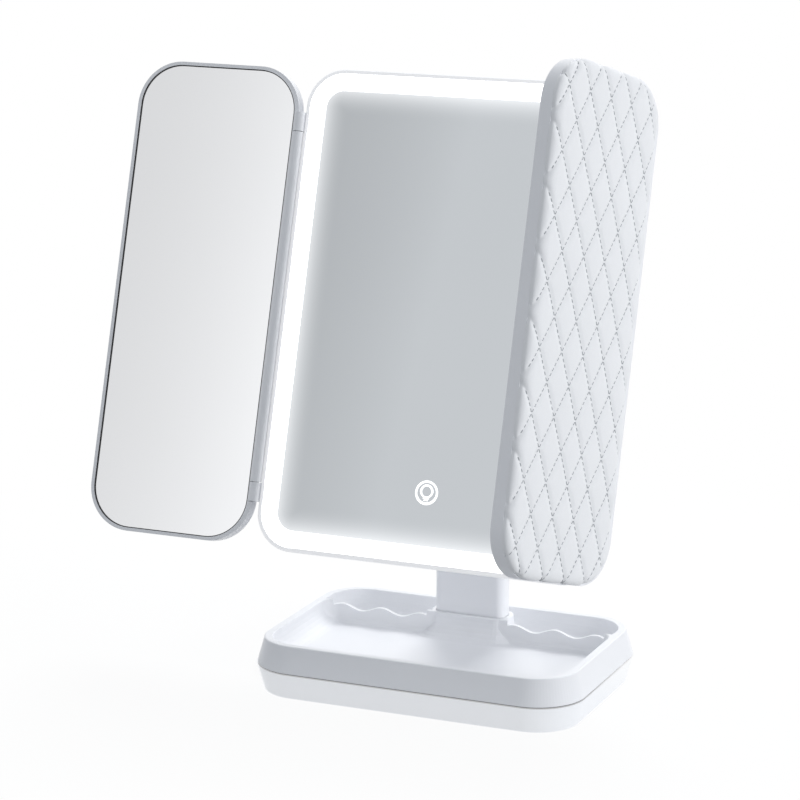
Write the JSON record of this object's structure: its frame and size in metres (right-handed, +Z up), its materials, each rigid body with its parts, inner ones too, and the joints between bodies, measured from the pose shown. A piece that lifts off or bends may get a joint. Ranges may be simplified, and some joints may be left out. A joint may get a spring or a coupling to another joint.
{
  "type": "trifold vanity mirror",
  "caption": "Lit table mirror that tilts on a column over a tray base, with two folding side mirrors backed by quilted covers.",
  "frame": {"origin": "middle of the tray's underside, on the table", "axes": "+Z up, the centre mirror looks towards -Y, +X to the right as seen from the front"},
  "size_m": [0.3134, 0.1946, 0.343],
  "materials": {
    "shell": "satin white moulded plastic",
    "reflector": "matt white moulded plastic",
    "inner_plastic": "matt dark plastic",
    "pad": "matt non-slip",
    "gasket": "soft black strip",
    "washer": "matt",
    "steel": "zinc plated",
    "contact": "nickel plated spring steel",
    "plug_shell": "satin",
    "mirror": "silvered glass",
    "diffuser": "milky light diffuser",
    "light_strip": "white strip with light chips",
    "touch_mark": "translucent white",
    "board": "solder mask",
    "lead": "flat sheathed lead",
    "cell": "plain sleeve",
    "backing": "fibreboard",
    "leather": "quilted soft synthetic leather"
  },
  "bodies": {
    "base": {"base_tray": "shell", "base_pad": "pad", "column_front": "shell", "column_rear": "shell", "column_core": "steel", "column_screws": "steel", "foot_screws": "steel", "tilt_shaft": "steel", "shaft_nuts": "steel", "friction_washers": "washer"},
    "head": {"tilt_bracket": "shell", "bracket_screws": "steel", "head_housing": "shell", "housing_screws": "steel", "wing_pins": "steel", "light_carrier": "reflector", "led_strip": "light_strip", "light_ring": "diffuser", "centre_mirror": "mirror", "touch_mark": "touch_mark", "touch_sensor": "board", "control_board": "board", "usb_socket": "plug_shell", "wiring": "lead", "battery_box": "inner_plastic", "battery_cells": "cell", "battery_contacts": "contact", "battery_door": "shell"},
    "left_wing": {"left_frame": "shell", "left_mirror": "mirror", "left_gasket": "gasket", "left_backing": "backing", "left_cover": "leather"},
    "right_wing": {"right_frame": "shell", "right_mirror": "mirror", "right_gasket": "gasket", "right_backing": "backing", "right_cover": "leather"}
  },
  "joints": [
    {"name": "tilt", "type": "hinge", "parent": "base", "child": "head", "pos_m": [0, 0.0395, 0.19], "axis": [-1, 0, 0], "range_deg": [-17, 42]},
    {"name": "left_hinge", "type": "hinge", "parent": "head", "child": "left_wing", "pos_m": [-0.10195, -0.00131, 0.19168], "axis": [0, 0.299, 0.9542], "range_deg": [-2, 177]},
    {"name": "right_hinge", "type": "hinge", "parent": "head", "child": "right_wing", "pos_m": [0.10195, -0.00131, 0.19168], "axis": [0, -0.299, -0.9542], "range_deg": [-105, 74]}
  ]
}
